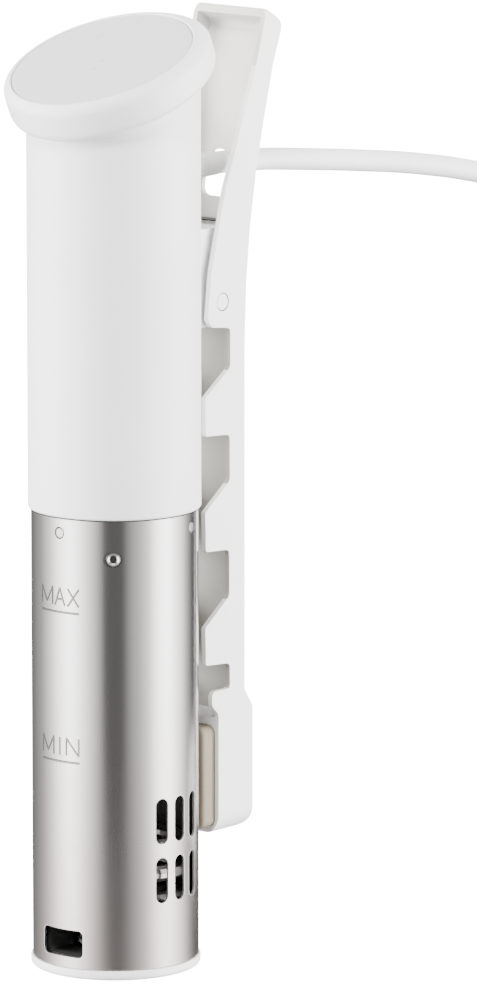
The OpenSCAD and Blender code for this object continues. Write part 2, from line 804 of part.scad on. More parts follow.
base_cap();
steel_sleeve();
pump_housing();
pump_cover();
shaft_bushing();
heater_coil();
temperature_probe();
level_probes();
bulkhead();
bulkhead_seal();
shaft_seal();
sleeve_pins();
sleeve_screws();
body_shell();
head_bezel();
display_panel();
display_board();
digit_module();
touch_springs();
buzzer();
board_screws();
inner_frame();
motor_mount();
mount_screws();
motor_can();
motor_magnets();
motor_bearings();
power_board();
transformer();
capacitor();
relay();
cord_clamp();
cord_gland();
hinge_bracket();
bracket_screws();
hinge_pin();
torsion_spring();
clip_lever();
jaw_pad();
motor_rotor();
pump_shaft();
impeller();
power_cord();
cord_coil();
cord_tail();
plug_body();
plug_blades();
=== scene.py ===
"""Looks of a stick-type sous vide circulator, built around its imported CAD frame.

Sizes are in millimetres in the part's own frame and become metres where a mesh is made.
The tube stands on Z with its foot at 0, the display faces -Y, and the clip is on +Y.
"""

import json
import math
from contextlib import contextmanager

import bmesh
import bpy
from mathutils import Matrix, Vector


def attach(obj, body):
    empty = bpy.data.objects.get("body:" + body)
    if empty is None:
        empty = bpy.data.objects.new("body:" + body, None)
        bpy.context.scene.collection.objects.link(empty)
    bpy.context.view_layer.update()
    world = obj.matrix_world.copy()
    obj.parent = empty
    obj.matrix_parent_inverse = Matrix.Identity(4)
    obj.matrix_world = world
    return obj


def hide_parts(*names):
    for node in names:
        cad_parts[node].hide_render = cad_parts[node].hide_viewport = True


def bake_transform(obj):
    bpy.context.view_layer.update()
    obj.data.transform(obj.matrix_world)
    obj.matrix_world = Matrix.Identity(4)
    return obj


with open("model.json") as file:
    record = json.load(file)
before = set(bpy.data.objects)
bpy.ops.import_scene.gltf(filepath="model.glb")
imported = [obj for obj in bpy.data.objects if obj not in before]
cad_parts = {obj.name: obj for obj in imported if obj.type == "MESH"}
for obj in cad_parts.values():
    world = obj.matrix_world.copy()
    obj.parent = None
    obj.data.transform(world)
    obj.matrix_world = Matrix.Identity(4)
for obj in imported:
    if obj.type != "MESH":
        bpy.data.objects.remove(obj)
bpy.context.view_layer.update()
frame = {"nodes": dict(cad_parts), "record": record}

MM = 0.001
TURN = 2 * math.pi

# ------------------------------ camera

CAMERA_AZIMUTH = 40
CAMERA_ELEVATION = 10.3
CAMERA_DISTANCE = 2.7
CAMERA_TARGET = Vector((0.034, 0.0285, 0.1726))


def new_object(name, data):
    made = bpy.data.objects.new(name, data)
    bpy.context.collection.objects.link(made)
    return made


def aim(thing, azimuth, elevation, distance):
    """Places a camera or a light round the camera's target, and turns it towards that."""
    a, e = math.radians(azimuth), math.radians(elevation)
    back = Vector((math.sin(a) * math.cos(e), -math.cos(a) * math.cos(e), math.sin(e)))
    thing.location = CAMERA_TARGET + distance * back
    thing.rotation_mode = "QUATERNION"
    thing.rotation_quaternion = (-back).to_track_quat("-Z", "Y")


def add_camera():
    data = bpy.data.cameras.new("camera")
    data.sensor_width = 36
    data.lens = 276
    camera = new_object("camera", data)
    aim(camera, CAMERA_AZIMUTH, CAMERA_ELEVATION, CAMERA_DISTANCE)
    bpy.context.scene.camera = camera


add_camera()

# ------------------------------ materials


class Graph:
    """A node tree, with short calls for the nodes that the materials and the studio share."""

    def __init__(self, tree):
        self.tree = tree

    def node(self, kind, **values):
        made = self.tree.nodes.new(kind)
        for key, value in values.items():
            setattr(made, key, value)
        return made

    def link(self, output, target):
        self.tree.links.new(output, target)

    def math(self, operation, *operands):
        """A math node's result. An operand is a number or another node's output."""
        made = self.node("ShaderNodeMath", operation=operation)
        for target, operand in zip(made.inputs, operands):
            if isinstance(operand, (int, float)):
                target.default_value = operand
            else:
                self.link(operand, target)
        return made.outputs["Value"]

    def map_range(self, value, low, high, to_low=0, to_high=1, curve="LINEAR"):
        """value mapped from low to high onto to_low to to_high."""
        mapped = self.node("ShaderNodeMapRange", interpolation_type=curve)
        limits = {"From Min": low, "From Max": high, "To Min": to_low, "To Max": to_high}
        for key, limit in limits.items():
            mapped.inputs[key].default_value = limit
        self.link(value, mapped.inputs["Value"])
        return mapped.outputs["Result"]


class Shader(Graph):
    """A material round one Principled shader, with calls for its colour, roughness and bump."""

    def __init__(self, name, colour, roughness, metallic=0.0, specular=0.5):
        self.material = bpy.data.materials.new(name)
        self.material.use_nodes = True
        super().__init__(self.material.node_tree)
        self.surface = self.tree.nodes["Principled BSDF"]
        self.surface.inputs["Base Color"].default_value = (*colour, 1)
        self.surface.inputs["Roughness"].default_value = roughness
        self.surface.inputs["Metallic"].default_value = metallic
        self.surface.inputs["Specular IOR Level"].default_value = specular
        self.height = None

    def place(self, stretch=(1, 1, 1)):
        """The surface point in the part's frame, in millimetres, stretched per axis."""
        coordinates = self.node("ShaderNodeTexCoord")
        mapping = self.node("ShaderNodeMapping")
        mapping.inputs["Scale"].default_value = [1000 * s for s in stretch]
        self.link(coordinates.outputs["Object"], mapping.inputs["Vector"])
        return mapping.outputs["Vector"]

    def noise(self, size, stretch=(1, 1, 1), detail=3):
        """A noise whose lumps are about size millimetres across."""
        noise = self.node("ShaderNodeTexNoise")
        noise.inputs["Scale"].default_value = 1 / size
        noise.inputs["Detail"].default_value = detail
        self.link(self.place(stretch), noise.inputs["Vector"])
        return noise.outputs["Fac"]

    def spread(self, value, low, high):
        """A noise mapped from its usual 0.3 to 0.7 onto low to high."""
        return self.map_range(value, 0.3, 0.7, low, high)

    def tint(self, value, dark, light):
        """The base colour runs from dark to light with value."""
        mix = self.node("ShaderNodeMix", data_type="RGBA")
        mix.inputs[6].default_value = (*dark, 1)
        mix.inputs[7].default_value = (*light, 1)
        self.link(value, mix.inputs[0])
        self.link(mix.outputs[2], self.surface.inputs["Base Color"])

    def rise(self, low_z, high_z):
        """0 below low_z to 1 above high_z, with a wavering border."""
        apart = self.node("ShaderNodeSeparateXYZ")
        self.link(self.place(), apart.inputs[0])
        height = self.math("ADD", apart.outputs["Z"], self.spread(self.noise(26), -8, 8))
        return self.map_range(height, low_z, high_z, curve="SMOOTHSTEP")

    def rough(self, value, low, high):
        self.link(self.spread(value, low, high), self.surface.inputs["Roughness"])

    def bump(self, value, depth):
        """Adds a bump of depth millimetres under the ones made before."""
        bump = self.node("ShaderNodeBump")
        bump.inputs["Strength"].default_value = 1
        bump.inputs["Distance"].default_value = depth * MM
        self.link(value, bump.inputs["Height"])
        if self.height is not None:
            self.link(self.height, bump.inputs["Normal"])
        self.height = bump.outputs["Normal"]
        self.link(self.height, self.surface.inputs["Normal"])


def scaled(colour, factor):
    return tuple(min(1, c * factor) for c in colour)


def moulded(name, colour, roughness, grain=0.5, depth=0.012, spread=0.04):
    """Moulded plastic: a fine spark-eroded grain and slow variation in tone and gloss."""
    shader = Shader(name, colour, roughness)
    slow = shader.noise(34, detail=2)
    shader.tint(shader.spread(slow, 0, 1), scaled(colour, 1 - spread / 2), scaled(colour, 1 + spread / 2))
    shader.rough(shader.noise(9), roughness - 0.05, roughness + 0.05)
    shader.bump(shader.noise(grain, detail=2), depth)
    return shader.material


LINE_DEPTH = 0.004  # of the fine lines in metal


def brushed(name, colour, roughness, stretch):
    """Metal with fine lines along the axis where stretch is small."""
    shader = Shader(name, colour, roughness, metallic=1)
    lines = shader.noise(0.25, stretch, detail=4)
    shader.rough(lines, roughness - 0.04, roughness + 0.06)
    clouds = shader.noise(26, detail=3)
    shader.tint(shader.spread(clouds, 0, 1), scaled(colour, 0.96), scaled(colour, 1.03))
    shader.bump(lines, LINE_DEPTH)
    return shader.material


def rubbery(name, colour):
    roughness = 0.62
    shader = Shader(name, colour, roughness, specular=0.35)
    fine = shader.noise(0.35, detail=4)
    shader.tint(shader.spread(shader.noise(12), 0, 1), scaled(colour, 0.95), scaled(colour, 1.04))
    shader.rough(fine, roughness - 0.06, roughness + 0.08)
    shader.bump(fine, 0.02)
    return shader.material


def laminate(name, colour):
    """Circuit board: a woven glass pattern under the green coat."""
    shader = Shader(name, colour, 0.35)
    waves = [shader.node("ShaderNodeTexWave", bands_direction=axis) for axis in ("X", "Z")]
    for wave in waves:
        wave.inputs["Scale"].default_value = 1.2
        shader.link(shader.place(), wave.inputs["Vector"])
    weave = shader.math("MULTIPLY", waves[0].outputs["Fac"], waves[1].outputs["Fac"])
    shader.tint(weave, scaled(colour, 0.8), scaled(colour, 1.25))
    shader.bump(weave, 0.01)
    return shader.material


WHITE = (0.86, 0.86, 0.865)
STEEL = (0.56, 0.54, 0.53)


def tube_steel(name, foot_colour, foot_z, top_z):
    """The sleeve's steel: drawn lines along the tube, warmer and duller towards its foot."""
    shader = Shader(name, STEEL, 0.17, metallic=1)
    lines = shader.noise(0.25, (1, 1, 0.02), detail=4)
    shader.bump(lines, LINE_DEPTH)
    rise = shader.rise(foot_z, top_z)
    shader.tint(rise, foot_colour, STEEL)
    roughness = shader.math("MULTIPLY_ADD", rise, -0.16, shader.spread(lines, 0.32, 0.35))
    shader.link(roughness, shader.surface.inputs["Roughness"])
    return shader.material


def clip_inside_painted_shade(name, low_colour, high_colour, low_z, high_z):
    """Plastic whose colour darkens downwards, from high_colour above high_z to low_colour below low_z:
    painted shade for the lever's inside.
    """
    shader = Shader(name, high_colour, 0.5)
    shader.tint(shader.rise(low_z, high_z), low_colour, high_colour)
    shader.bump(shader.noise(0.6, detail=2), 0.012)
    return shader.material


# For each slot of the record: its material's maker and what that takes after the name.
FINISHES = {
    "white_plastic": (moulded, WHITE, 0.42),
    "clip_plastic": (moulded, (0.85, 0.85, 0.84), 0.45, 0.6),
    "panel_plastic": (moulded, (0.64, 0.645, 0.655), 0.32, 0.3, 0.002, 0.008),
    "foot_plastic": (moulded, (0.85, 0.85, 0.85), 0.4),
    "polished_steel": (tube_steel, (0.45, 0.41, 0.395), -10, 130),
    # the pad's beige rubber, coloured darker than it is: painted shade from its place between tube and lever
    "pad_rubber": (rubbery, (0.25, 0.21, 0.155)),
    "black_rubber": (rubbery, (0.02, 0.02, 0.02)),
    "dark_plastic": (moulded, (0.03, 0.03, 0.028), 0.5),
    "black_plastic": (moulded, (0.012, 0.012, 0.013), 0.4),
    "circuit_board": (laminate, (0.015, 0.13, 0.05)),
    "coil_copper": (brushed, (0.75, 0.36, 0.18), 0.3, (1, 1, 0.05)),
    "brass": (brushed, (0.78, 0.60, 0.28), 0.22, (0.05, 1, 1)),
    "bronze": (brushed, (0.52, 0.36, 0.18), 0.35, (1, 1, 0.1)),
    "zinc_steel": (brushed, (0.55, 0.56, 0.58), 0.32, (1, 1, 0.1)),
    "spring_steel": (brushed, (0.16, 0.155, 0.15), 0.35, (0.1, 1, 1)),
    "white_nylon": (moulded, (0.84, 0.84, 0.83), 0.38),
    "yellow_tape": (moulded, (0.75, 0.48, 0.06), 0.35),
    "blue_plastic": (moulded, (0.02, 0.09, 0.38), 0.3),
    "cord_jacket": (moulded, (0.83, 0.83, 0.83), 0.4, 0.7, 0.01),
}
LOOKS = {slot: maker(slot, *values) for slot, (maker, *values) in FINISHES.items()}

# the lever's inner faces, painted darker than its outside as shade, most of all down in the arm
CLIP_INSIDE_SHADE = clip_inside_painted_shade("clip_inside_painted_shade", (0.36, 0.35, 0.32), (0.62, 0.605, 0.575), 225, 285)
# painted shade: a near black for the narrow gap round the hinge pin
GAP_SHADE = moulded("gap_shade", (0.04, 0.04, 0.038), 0.6)
# three more finishes of the steel: level marks; the tube's inside, rougher steel painted far darker as shade;
# and cut edges, painted lighter than the steel as a highlight
MARK_STEEL = brushed("mark_steel", (0.22, 0.21, 0.2), 0.4, (1, 1, 0.1))
INNER_STEEL_SHADE = brushed("inner_steel_painted_shade", (0.07, 0.068, 0.065), 0.55, (1, 1, 0.1))
EDGE_STEEL_HIGHLIGHT = brushed("edge_steel_painted_highlight", (0.72, 0.71, 0.70), 0.5, (1, 0.1, 1))


def dress_cad_nodes():
    """Each CAD node gets the material of its slot in the record."""
    for part in frame["record"]["subparts"]:
        node = frame["nodes"][part["node"]]
        node.data.materials.clear()
        node.data.materials.append(LOOKS[part["material_slot"]])


dress_cad_nodes()

# ------------------------------ mesh tools


@contextmanager
def editing(mesh):
    """The mesh as a bmesh, which is written back at the end."""
    made = bmesh.new()
    made.from_mesh(mesh)
    yield made
    made.to_mesh(mesh)
    made.free()


def raw(name, points, faces):
    """A mesh object from points in millimetres."""
    mesh = bpy.data.meshes.new(name)
    mesh.from_pydata([tuple(c * MM for c in p) for p in points], [], faces)
    mesh.validate()
    with editing(mesh) as made:
        bmesh.ops.recalc_face_normals(made, faces=made.faces)
    return new_object(name, mesh)


def bake(thing):
    """Applies the modifiers to the mesh."""
    bpy.context.view_layer.update()
    seen = thing.evaluated_get(bpy.context.evaluated_depsgraph_get())
    mesh = bpy.data.meshes.new_from_object(seen)
    thing.modifiers.clear()
    old = thing.data
    thing.data = mesh
    bpy.data.meshes.remove(old)


def boolean(thing, other, operation="DIFFERENCE"):
    modifier = thing.modifiers.new("boolean", "BOOLEAN")
    modifier.operation = operation
    modifier.solver = "EXACT"
    modifier.object = other
    bake(thing)
    bpy.data.objects.remove(other)


def join(name, pieces):
    """One mesh of several."""
    joined = bmesh.new()
    for piece in pieces:
        joined.from_mesh(piece.data)
        bpy.data.objects.remove(piece)
    mesh = bpy.data.meshes.new(name)
    joined.to_mesh(mesh)
    joined.free()
    return new_object(name, mesh)


def weld(thing):
    """Merges the points that a closed profile makes twice."""
    with editing(thing.data) as made:
        bmesh.ops.remove_doubles(made, verts=made.verts, dist=0.001 * MM)
        bmesh.ops.recalc_face_normals(made, faces=made.faces)


def merge_flat(thing):
    """Joins faces that lie in one plane, so that bevels run along whole edges."""
    with editing(thing.data) as made:
        bmesh.ops.remove_doubles(made, verts=made.verts, dist=0.01 * MM)
        bmesh.ops.dissolve_limit(made, angle_limit=math.radians(1), verts=made.verts, edges=made.edges)


def soften(thing, width, spare=None):
    """Rounds the edges, apart from those whose middle spare picks, and shades the rest smooth."""
    merge_flat(thing)
    least_turn = math.radians(32)
    with editing(thing.data) as made:
        weight = made.edges.layers.float.new("bevel_weight_edge")
        for edge in made.edges:
            middle = (edge.verts[0].co + edge.verts[1].co) / 2
            turns = len(edge.link_faces) == 2 and edge.calc_face_angle() > least_turn
            edge[weight] = 1.0 if turns and not (spare and spare(middle)) else 0.0
    modifier = thing.modifiers.new("bevel", "BEVEL")
    modifier.width = width * MM
    modifier.segments = 3
    modifier.limit_method = "WEIGHT"
    modifier.use_clamp_overlap = True
    modifier.miter_outer = "MITER_ARC"
    bake(thing)
    smooth_below(thing, 60)
    # flat faces keep flat shading beside their rounded edges
    thing.modifiers.new("normals", "WEIGHTED_NORMAL").keep_sharp = True
    bake(thing)


def smooth_below(thing, degrees):
    """Smooth shading, with a sharp edge where faces meet at more than the angle."""
    thing.data.shade_smooth()
    with editing(thing.data) as made:
        for edge in made.edges:
            if len(edge.link_faces) == 2 and edge.calc_face_angle() > math.radians(degrees):
                edge.smooth = False
    return thing


def prism(name, outline, low, high, axis="X"):
    """An outline extruded from low to high along axis. Its points are (Y, Z), (X, Z) or (X, Y)."""
    order = {"X": lambda a, p: (a, p[0], p[1]), "Y": lambda a, p: (p[0], a, p[1]),
             "Z": lambda a, p: (p[0], p[1], a)}[axis]
    count = len(outline)
    points = [order(a, p) for a in (low, high) for p in outline]
    walls = [(i, (i + 1) % count, count + (i + 1) % count, count + i) for i in range(count)]
    caps = [tuple(range(count)), tuple(range(count, 2 * count))]
    return raw(name, points, walls + caps)


def rounded(points, steps=5):
    """An outline from corners (a, b, radius), each rounded by an arc of its radius."""
    made = []
    count = len(points)
    for i, (x, y, radius) in enumerate(points):
        here = Vector((x, y))
        before = Vector(points[i - 1][:2]) - here
        after = Vector(points[(i + 1) % count][:2]) - here
        if radius <= 0:
            made.append((x, y))
            continue
        half = before.angle(after) / 2
        reach = min(radius / math.tan(half), before.length * 0.49, after.length * 0.49)
        start = here + before.normalized() * reach
        end = here + after.normalized() * reach
        for k in range(steps + 1):
            t = k / steps
            bend = (1 - t) ** 2 * start + 2 * t * (1 - t) * here + t * t * end
            made.append((bend.x, bend.y))
    return made


def rectangle(x0, y0, x1, y1, radius, steps=6, top=None):
    """A rectangle with true round corners. The two upper ones may have a radius of their own."""
    top = top or radius
    return [*arc(x1 - radius, y0 + radius, radius, -90, 0, steps),
            *arc(x1 - top, y1 - top, top, 0, 90, steps), *arc(x0 + top, y1 - top, top, 90, 180, steps),
            *arc(x0 + radius, y0 + radius, radius, 180, 270, steps)]


def circle(cx, cy, radius, steps=48):
    return [(cx + radius * math.cos(TURN * k / steps), cy + radius * math.sin(TURN * k / steps))
            for k in range(steps)]


def loft(name, rings, closed_ends=False):
    """A skin over rings of equally many points."""
    count = len(rings[0])
    points = [p for ring in rings for p in ring]
    faces = []
    for start in range(0, (len(rings) - 1) * count, count):
        for j in range(count):
            k = (j + 1) % count
            faces.append((start + j, start + k, start + count + k, start + count + j))
    if closed_ends:
        faces.append(tuple(range(count)))
        faces.append(tuple(range(len(points) - count, len(points))))
    return raw(name, points, faces)


def polar(radius, angle, z):
    return (radius * math.cos(angle), radius * math.sin(angle), z)


def lathe(name, profile, count=128, closed_ends=False):
    """A profile of (radius, height) turned round Z."""
    rings = [[polar(r, TURN * j / count, z) for j in range(count)] for r, z in profile]
    return loft(name, rings, closed_ends)


def arc(cx, cy, radius, start, end, steps=8):
    return [(cx + radius * math.cos(math.radians(start + (end - start) * k / steps)),
             cy + radius * math.sin(math.radians(start + (end - start) * k / steps)))
            for k in range(steps + 1)]


def curve_through(points, steps):
    """A smooth curve through the points, as a list."""
    made = []
    last = len(points) - 1
    for i in range(last):
        a, b, c, d = (Vector(points[max(0, min(last, k))]) for k in (i - 1, i, i + 1, i + 2))
        for j in range(steps):
            u = j / steps
            made.append(0.5 * (2 * b + (c - a) * u + (2 * a - 5 * b + 4 * c - d) * u * u
                               + (3 * b - a - 3 * c + d) * u ** 3))
    made.append(Vector(points[last]))
    return made


def round_curve(name, points, radius, resolution):
    """A curve with a round section, through points in millimetres."""
    data = bpy.data.curves.new(name, "CURVE")
    data.dimensions = "3D"
    spline = data.splines.new("POLY")
    spline.points.add(len(points) - 1)
    for point, place in zip(spline.points, points):
        point.co = (*(Vector(place) * MM), 1)
    spline.use_smooth = True
    data.bevel_depth = radius * MM
    data.bevel_resolution = resolution
    data.use_fill_caps = True
    return new_object(name, data)


def wire(name, points, radius):
    """A round wire as a mesh."""
    drawn = round_curve(name, points, radius, 4)
    bpy.context.view_layer.update()
    mesh = bpy.data.meshes.new_from_object(drawn.evaluated_get(bpy.context.evaluated_depsgraph_get()))
    bpy.data.objects.remove(drawn)
    return smooth_below(new_object(name, mesh), 60)


def finish_piece(thing, body, look, *replaced):
    """Gives a piece its material, body, slot and replaced nodes. One that bends between bodies has none."""
    thing.data.materials.clear()
    thing.data.materials.append(LOOKS[look])
    if body:
        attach(thing, body)
    if replaced:
        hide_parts(*replaced)
    return thing


def place_on_tube(thing, angle, z=0):
    """Turns a mesh made at the front (-Y) towards +X by angle degrees, and lifts it."""
    thing.data.transform(Matrix.Translation((0, 0, z * MM)) @ Matrix.Rotation(math.radians(angle), 4, "Z"))
    return thing


# ------------------------------ cord

CORD_D = 8.2
CORD_ROUTE = [
    (0, 56, 285.6), (0, 70, 285), (0, 85, 284), (0, 105, 281.8), (0, 125, 279.5),
    (0, 140, 277.6), (0, 160, 275), (0, 180, 271.8), (0, 200, 268), (0, 223, 262),
    (0, 244, 250), (0, 260, 232), (0, 270, 208), (0, 275, 180), (0, 275, 150),
    (0, 275, 115), (0, 275, 80), (0, 275, 44), (0, 271, 27), (0, 261, 13.5),
    (0, 245, 5.4), (0, 235, 4.1),
]
TAIL_ROUTE = [
    (93.6, 226.8, 12.3), (94.6, 232.7, 12.7), (95, 241.3, 13.4), (93.1, 249.7, 15),
    (89.2, 257.4, 17.2), (83.3, 263.7, 19.7), (76.1, 268.4, 21.8), (67.9, 271, 22.8),
    (63.8, 271.7, 22.8),
]
COIL_OUT = 5.75 * CORD_D
COIL_TURNS = 1.5  # turns in each of the two layers
COIL_CENTRE = (COIL_OUT, 235)
COIL_STEP = 10  # degrees between points
RISE_ANGLE = 170  # the cord climbs to the second layer over this angle


def coil_route():
    """Inwards on the floor, up at the middle, and outwards again on the second layer."""
    layer = 360 * COIL_TURNS
    total = int(2 * layer + RISE_ANGLE)
    route = []
    for turned in range(COIL_STEP, total, COIL_STEP):
        inwards = min(turned, layer) / 360
        outwards = max(0, turned - layer - RISE_ANGLE) / 360
        radius = COIL_OUT - CORD_D * (inwards - outwards)
        climb = min(1, max(0, (turned - layer) / RISE_ANGLE))
        height = CORD_D / 2 + CORD_D * climb * climb * (3 - 2 * climb)
        angle = math.radians(180 + turned)
        route.append((COIL_CENTRE[0] + radius * math.cos(angle),
                      COIL_CENTRE[1] + radius * math.sin(angle), height))
    return route


PLUG_TURN = -10
PLUG_REAR = (10, 39)  # where the plug's front lies from the coil's centre, before its turn
PLUG_NECK = 16
PLUG_LENGTH = 24
PLUG_HALF_H = 6.4
PLUG_Z = 2 * CORD_D + PLUG_HALF_H


def plug():
    """A flat two-blade plug with a ribbed neck, made along +X and laid on the coil."""
    sections = []
    back = -PLUG_NECK - PLUG_LENGTH
    for x, half_w, half_h, corner in (
            (back, 8.6, 5.2, 2.6), (back + 0.5, 9.5, 6, 3), (back + 1.6, 10, 6.4, 3.2),
            (back + 9, 10, 6.4, 3.2), (back + 15, 9.3, 6, 3.4), (back + 19, 9.6, 6.2, 3.8),
            (back + 22.5, 9, 6, 4.6), (-PLUG_NECK, 7, 5.6, 5), (-PLUG_NECK + 1.2, 5.6, 5.3, 5)):
        sections.append([(x, y, z) for y, z in rectangle(-half_w, -half_h, half_w, half_h, corner)])
    ribs = 6
    for k in range(ribs):
        x0 = -PLUG_NECK + 1.4 + 2.35 * k
        radius = 5.4 - 0.16 * k
        for dx, dr in ((0, 0), (1.3, 0), (1.5, -0.7), (2.2, -0.7)):
            half = radius + dr - 0.03
            sections.append([(x0 + dx, y, z) for y, z in rectangle(-half, -half, half, half, half - 0.01)])
    body = loft("plug", sections, closed_ends=True)
    smooth_below(body, 40)
    turn = Matrix.Rotation(math.radians(PLUG_TURN), 4, "Z")
    rear = Matrix.Translation(Vector((PLUG_REAR[0], PLUG_REAR[1], 0)) * MM)
    centre = Matrix.Translation(Vector((*COIL_CENTRE, PLUG_Z)) * MM)
    body.data.transform(centre @ turn @ rear)
    return finish_piece(body, "housing", "cord_jacket", "plug_body")


def cord():
    """The mains cord in one piece: its free stretch, its coil and its tail up to the plug."""
    start = curve_through(CORD_ROUTE, 3)
    end = curve_through(TAIL_ROUTE, 3)
    made = round_curve("cord", [*start, *coil_route(), *end], CORD_D / 2, 8)
    finish_piece(made, "housing", "cord_jacket", "power_cord", "cord_coil", "cord_tail")
    plug()


cord()

# ------------------------------ upper body and head

BODY_R = 31.05
SEAM_Z = 167.6
SLEEVE_TOP_Z = 175.6
SLEEVE_TOP_R = 30.05  # the body's bore round the sleeve
BODY_IN_R = 28.85
HEAD_Y = -6.2
HEAD_Z = 329
ROUND = [TURN * j / 144 for j in range(144)]  # the angles of the points round the body and head
NECK_HEIGHTS = (185, 210, 235, 260, 280, 295)

# The head's collar from the display's seat outwards, down and back in to the neck. Each entry is
# (radius, height over the display face, how far up the slope its centre lies, tilt in degrees).
COLLAR = [
    (33.3, -1.9, 0, 23), (33.35, -0.5, 0, 23), (33.5, 0.05, 0.05, 23), (33.95, 0.22, 0.2, 22.9),
    (34.6, 0.05, 0.45, 22.8), (35.5, -0.5, 0.75, 22.8), (36.4, -1.2, 1.0, 22.8), (37.2, -2.0, 1.3, 23),
    (37.75, -2.9, 1.5, 23.2), (37.98, -4.2, 1.6, 23.4), (38, -6.5, 1.55, 23.8), (38, -8.8, 1.5, 24.3),
    (37.95, -10.4, 1.45, 24.7), (37.6, -11.6, 1.45, 24.9), (36.9, -12.5, 1.5, 25.2),
    (35.7, -13.1, 1.5, 25.5), (34.4, -13.5, 1.5, 25.6), (33.4, -13.6, 1.5, 25.6), (33.0, -13.3, 1.5, 25.6),
]
NECK_BLEND = 6.0  # height over which the neck flares out to the collar
NECK_FLARE = 0.8
NECK_SEAM = 1.0  # the neck ends this far above the collar's lower rim, inside it


def tilted(radius, height, shift, tilt, angle):
    """A point of a ring in the head's tilted frame, in the part's frame."""
    y = radius * math.sin(angle) + shift
    lean = math.radians(tilt)
    return (radius * math.cos(angle),
            HEAD_Y + y * math.cos(lean) - height * math.sin(lean),
            HEAD_Z + y * math.sin(lean) + height * math.cos(lean))


def collar_height(angle, radius):
    """Height of the plane of the collar's lower rim over a point of the tube."""
    rim = COLLAR[-1]
    lean = math.radians(rim[3])
    y = radius * math.sin(angle) - HEAD_Y
    return HEAD_Z + (rim[1] + y * math.sin(lean)) / math.cos(lean)


def head_collar():
    """The thick round lip of the head, tilted with the display."""
    rings = [[tilted(*entry, a) for a in ROUND] for entry in curve_through(COLLAR, 3)]
    top = BODY_R + NECK_FLARE + 0.05
    rings.append([polar(top, a, collar_height(a, top) + NECK_SEAM) for a in ROUND])
    # the hidden inside: back up to the display's seat, so that the collar is a closed shell
    inner = 28.9
    rings.append([polar(inner, a, collar_height(a, inner) + 3) for a in ROUND])
    for seat in ((27.5, -7.5, 1.7, 23), (27.5, -2.2, 1.7, 23), (30.5, -2.0, 0.9, 23)):
        rings.append([tilted(*seat, a) for a in ROUND])
    made = loft("head_collar", rings + rings[:1])
    weld(made)
    smooth_below(made, 50)
    finish_piece(made, "housing", "white_plastic", "head_bezel")


def upper_body():
    """The tube's wall, rounded at its lower edge and flared at the neck under the collar."""
    edge_r = 0.9
    low = [(SLEEVE_TOP_R, SLEEVE_TOP_Z), (SLEEVE_TOP_R, SEAM_Z + 0.2),
           *arc(BODY_R - edge_r, SEAM_Z + edge_r, edge_r, -90, 0, 6)]
    rings = [[polar(radius, a, z) for a in ROUND] for radius, z in low]
    for z in NECK_HEIGHTS:
        # a ring that would cross the slanted neck stops a little under it, each one in its order
        spare = NECK_BLEND + (NECK_HEIGHTS[-1] - z) * 0.01
        rings.append([polar(BODY_R, a, min(z, collar_height(a, BODY_R) - spare)) for a in ROUND])
    steps = 12
    for k in range(steps + 1):
        rise = k / steps
        radius = BODY_R + NECK_FLARE * rise ** 2.6
        rings.append([polar(radius, a, collar_height(a, radius) - NECK_BLEND * (1 - rise)) for a in ROUND])
    for radius in (BODY_R + NECK_FLARE, BODY_IN_R):
        rings.append([polar(radius, a, collar_height(a, radius) + NECK_SEAM) for a in ROUND])
    rings.append([polar(BODY_IN_R, a, SLEEVE_TOP_Z) for a in ROUND])
    made = loft("upper_body", rings + rings[:1])
    weld(made)
    smooth_below(made, 40)
    finish_piece(made, "housing", "white_plastic", "body_shell")


def display_face():
    """The flat round display, a hair below the collar's crest, with a softened rim."""
    profile = [(29, -2), (33.1, -2), (33.15, -0.45), (33.0, -0.15), (32.7, -0.02), (32, 0), (20, 0), (8, 0),
               (0.5, 0)]
    rings = [[tilted(radius, height, 0, 23, a) for a in ROUND] for radius, height in profile]
    made = loft("display_face", rings, closed_ends=True)
    smooth_below(made, 40)
    finish_piece(made, "housing", "panel_plastic", "display_panel")


head_collar()
upper_body()
display_face()

# ------------------------------ steel sleeve

SLEEVE_R = 30
SLEEVE_IN_R = 29.2
FOOT_H = 3.6
SLOT_W = 5.2
SLOT_L = 16.6
SLOT_PITCH = 16.3
SLOT_ROWS = (27.4, 49)
SLOTS = [(middle + step * SLOT_PITCH, z) for middle in (91, 271) for step in (-1, 0, 1) for z in SLOT_ROWS]
WINDOW = (18.2, 7.7, 17.6, 1.8)  # width, low, high, corner radius
PIN_ANGLES = (0, 107, 253)
PIN_Z = 162
SCREW_ANGLES = (40, 220)
SCREW_Z = 153.5
DIMPLE_R = 3.6
HEAD_R = 2.7  # of the screws


def tube_cutter(outline, angle):
    """A cutter through the tube's front wall, turned to an angle."""
    return place_on_tube(prism("cutter", outline, -SLEEVE_R - 4, -SLEEVE_R + 6, "Y"), angle)


def radial_normals(thing):
    """Perfectly round shading: faces of the curved walls take their normal from the tube's axis."""
    mesh = thing.data
    mesh.shade_smooth()
    normals = []
    for face in mesh.polygons:
        flat = Vector((face.center.x, face.center.y, 0)).normalized()
        lean = face.normal.dot(flat)
        for index in face.loop_indices:
            point = mesh.vertices[mesh.loops[index].vertex_index].co
            if abs(lean) > 0.97:
                out = Vector((point.x, point.y, 0)).normalized()
                normals.append(out if lean > 0 else -out)
            else:
                normals.append(face.normal.copy())
    mesh.normals_split_custom_set(normals)


